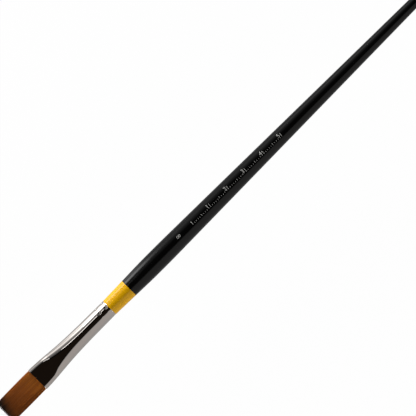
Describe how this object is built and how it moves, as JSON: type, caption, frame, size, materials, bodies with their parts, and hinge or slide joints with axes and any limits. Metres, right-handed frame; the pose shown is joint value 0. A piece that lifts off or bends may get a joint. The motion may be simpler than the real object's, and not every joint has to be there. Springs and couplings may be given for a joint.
{
  "type": "paint brush",
  "caption": "Long-handled flat artist's brush: springy square-cut tuft, ferrule pressed from round to flat, and a tapered lacquered wooden handle with a yellow band.",
  "frame": {"origin": "under the middle of the brush's length, on the brush's axis, level with the lowest point of the belly", "axes": "+X along the brush from the bristles to the tail of the handle, +Z out of the tuft's upper broad face, +Y across the tuft"},
  "size_m": [0.3, 0.0106, 0.0087],
  "materials": {
    "filament": "satin synthetic filament, red-brown, darker towards the tips",
    "epoxy_resin": "cured amber resin",
    "plated_tube": "bright nickel plate on a drawn brass tube",
    "tenon_glue": "dried clear glue",
    "hardwood": "turned and sanded hardwood",
    "yellow_lacquer": "gloss dipped lacquer",
    "black_lacquer": "gloss dipped lacquer"
  },
  "bodies": {
    "handle": {"handle_core": "hardwood", "black_lacquer_coat": "black_lacquer", "yellow_lacquer_band": "yellow_lacquer", "tenon_glue_film": "tenon_glue", "ferrule": "plated_tube", "epoxy_plug": "epoxy_resin", "filament_root_bundle": "filament"},
    "tuft": {"bristle_tuft": "filament"}
  },
  "joints": [
    {"name": "tuft_flex", "type": "hinge", "parent": "handle", "child": "tuft", "pos_m": [-0.1319, 0, 0.00433], "axis": [0, 1, 0], "range_deg": [-45, 45], "stiffness_Nm_per_rad": 0.0024}
  ]
}
